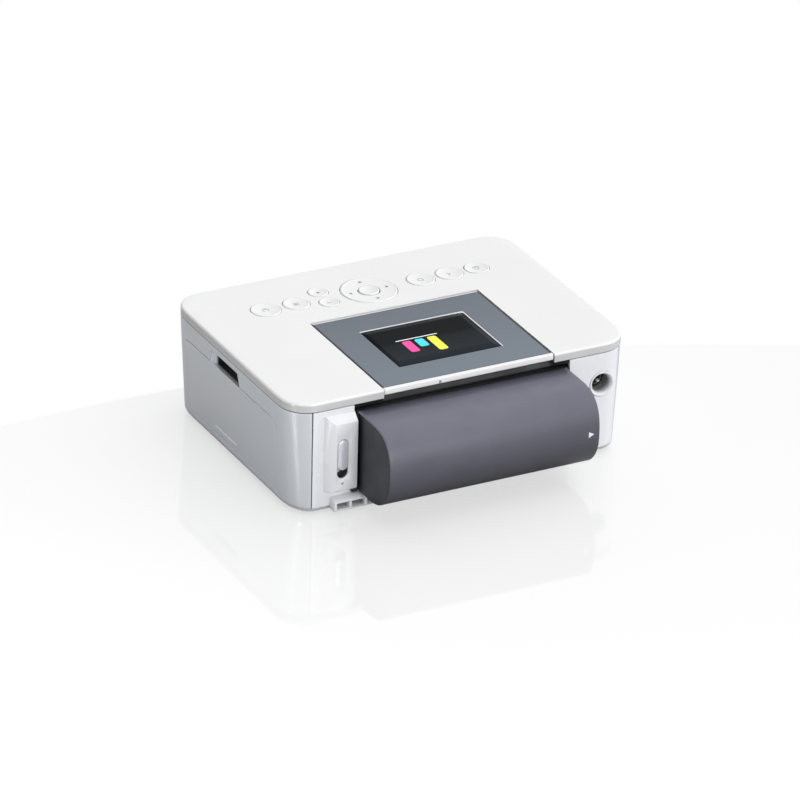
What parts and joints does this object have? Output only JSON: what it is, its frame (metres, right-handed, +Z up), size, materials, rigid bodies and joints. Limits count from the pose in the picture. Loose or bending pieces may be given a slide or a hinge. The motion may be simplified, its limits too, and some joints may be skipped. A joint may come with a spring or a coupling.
{
  "type": "compact photo printer",
  "caption": "Compact photo printer: rounded white case, tilting colour screen, round keys, side ink door, paper flap in front and a D-shaped battery pack on the back.",
  "frame": {"origin": "on the table under the middle of the whole object, battery pack included", "axes": "+Z up, +Y towards the battery pack, +X towards the ink door"},
  "size_m": [0.178, 0.1624, 0.0579],
  "materials": {
    "cover_white": "high gloss white moulding",
    "panel_silver": "pearl silver paint under clear coat",
    "panel_pale": "pale pearl moulding",
    "foot_rubber": "matt rubber",
    "dark_plastic": "matt black moulding",
    "socket_black": "smooth black moulding",
    "bezel_metal": "brushed slate finish",
    "screen_dark": "unlit screen",
    "battery_grey": "fine satin dark grey",
    "battery_end": "fine satin blue grey",
    "cell_wrap": "shrink wrap",
    "bright_steel": "bright steel",
    "plated_metal": "plated",
    "board_green": "coated board",
    "roller_rubber": "ground rubber",
    "gear_plastic": "natural moulding",
    "cassette_grey": "pale blue grey moulding",
    "ribbon_gold": "wound dye film",
    "key_white": "gloss white key"
  },
  "bodies": {
    "printer": {"top_cover": "cover_white", "right_side_panel": "panel_silver", "left_side_panel": "panel_silver", "rear_panel": "panel_pale", "front_panel": "panel_pale", "base_plate": "panel_silver", "feet": "foot_rubber", "case_screws": "bright_steel", "rear_paper_slot": "panel_pale", "latch_housing": "panel_pale", "battery_bay": "dark_plastic", "battery_terminals": "plated_metal", "dc_socket": "socket_black", "dc_socket_pin": "plated_metal", "lcd_tray": "cover_white", "key_board": "board_green", "card_reader": "socket_black", "usb_socket": "plated_metal", "chassis": "bright_steel", "main_board": "board_green", "thermal_head": "bright_steel", "drive_motor": "bright_steel", "ink_cassette": "cassette_grey"},
    "lcd_unit": {"lcd_housing": "cover_white", "lcd_bezel": "bezel_metal", "lcd_panel": "dark_plastic", "lcd_window": "screen_dark", "lcd_hinge_pins": "bright_steel"},
    "door": {"ink_door": "panel_silver", "ink_door_pins": "bright_steel"},
    "flap": {"paper_flap": "panel_pale", "paper_flap_pins": "bright_steel"},
    "latch": {"latch_slider": "panel_silver"},
    "battery": {"battery_shell": "battery_grey", "battery_cap_left": "battery_end", "battery_cap_right": "battery_end", "battery_base": "dark_plastic", "battery_cells": "cell_wrap"},
    "feed": {"feed_roller": "bright_steel", "drive_gear": "gear_plastic"},
    "pinion": {"motor_pinion": "gear_plastic"},
    "pinch": {"pinch_roller": "roller_rubber"},
    "platen": {"platen_roller": "roller_rubber"},
    "supply": {"supply_spool": "ribbon_gold"},
    "take_up": {"take_up_spool": "dark_plastic"},
    "key_power": {"power_key": "key_white"},
    "key_menu": {"menu_key": "key_white"},
    "key_zoom_in": {"zoom_in_key": "key_white"},
    "key_zoom_out": {"zoom_out_key": "key_white"},
    "key_ring": {"ring_key": "key_white"},
    "key_centre": {"centre_key": "key_white"},
    "key_edit": {"edit_key": "key_white"},
    "key_back": {"back_key": "key_white"},
    "key_print": {"print_key": "key_white"}
  },
  "joints": [
    {"name": "lcd_tilt", "type": "hinge", "parent": "printer", "child": "lcd_unit", "pos_m": [-0.0031, -0.02475, 0.0543], "axis": [1, 0, 0], "range_deg": [0, 45]},
    {"name": "ink_door_hinge", "type": "hinge", "parent": "printer", "child": "door", "pos_m": [0.08536, -0.01795, 0.0072], "axis": [0, 1, 0], "range_deg": [0, 90]},
    {"name": "paper_flap_hinge", "type": "hinge", "parent": "printer", "child": "flap", "pos_m": [0, -0.08015, 0.0076], "axis": [1, 0, 0], "range_deg": [0, 90]},
    {"name": "latch_slide", "type": "slide", "parent": "printer", "child": "latch", "axis": [0, 0, -1], "range_m": [0, 0.0042], "stiffness_N_per_m": 80},
    {"name": "battery_slide", "type": "slide", "parent": "printer", "child": "battery", "axis": [0, 1, 0], "range_m": [0, 0.045]},
    {"name": "power_press", "type": "slide", "parent": "printer", "child": "key_power", "axis": [0, 0, -1], "range_m": [0, 0.0004], "stiffness_N_per_m": 500},
    {"name": "menu_press", "type": "slide", "parent": "printer", "child": "key_menu", "axis": [0, 0, -1], "range_m": [0, 0.0004], "stiffness_N_per_m": 500},
    {"name": "zoom_in_press", "type": "slide", "parent": "printer", "child": "key_zoom_in", "axis": [0, 0, -1], "range_m": [0, 0.0004], "stiffness_N_per_m": 500},
    {"name": "zoom_out_press", "type": "slide", "parent": "printer", "child": "key_zoom_out", "axis": [0, 0, -1], "range_m": [0, 0.0004], "stiffness_N_per_m": 500},
    {"name": "ring_press", "type": "slide", "parent": "printer", "child": "key_ring", "axis": [0, 0, -1], "range_m": [0, 0.0004], "stiffness_N_per_m": 500},
    {"name": "centre_press", "type": "slide", "parent": "printer", "child": "key_centre", "axis": [0, 0, -1], "range_m": [0, 0.0004], "stiffness_N_per_m": 500},
    {"name": "edit_press", "type": "slide", "parent": "printer", "child": "key_edit", "axis": [0, 0, -1], "range_m": [0, 0.0004], "stiffness_N_per_m": 500},
    {"name": "back_press", "type": "slide", "parent": "printer", "child": "key_back", "axis": [0, 0, -1], "range_m": [0, 0.0004], "stiffness_N_per_m": 500},
    {"name": "print_press", "type": "slide", "parent": "printer", "child": "key_print", "axis": [0, 0, -1], "range_m": [0, 0.0004], "stiffness_N_per_m": 500},
    {"name": "feed_spin", "type": "hinge", "parent": "printer", "child": "feed", "pos_m": [0, 0.01325, 0.02], "axis": [1, 0, 0], "continuous": true},
    {"name": "pinion_spin", "type": "hinge", "parent": "printer", "child": "pinion", "pos_m": [-0.062, 0.02775, 0.02], "axis": [1, 0, 0], "continuous": true},
    {"name": "pinch_spin", "type": "hinge", "parent": "printer", "child": "pinch", "pos_m": [0, 0.01325, 0.0273], "axis": [1, 0, 0], "continuous": true},
    {"name": "platen_spin", "type": "hinge", "parent": "printer", "child": "platen", "pos_m": [0, -0.03075, 0.0304], "axis": [1, 0, 0], "continuous": true},
    {"name": "supply_spin", "type": "hinge", "parent": "printer", "child": "supply", "pos_m": [0, -0.05175, 0.033], "axis": [1, 0, 0], "continuous": true},
    {"name": "take_up_spin", "type": "hinge", "parent": "printer", "child": "take_up", "pos_m": [0, -0.00875, 0.033], "axis": [1, 0, 0], "continuous": true}
  ],
  "couplings": [
    {"joint": "pinion_spin", "follows": "feed_spin", "ratio": -3}
  ]
}
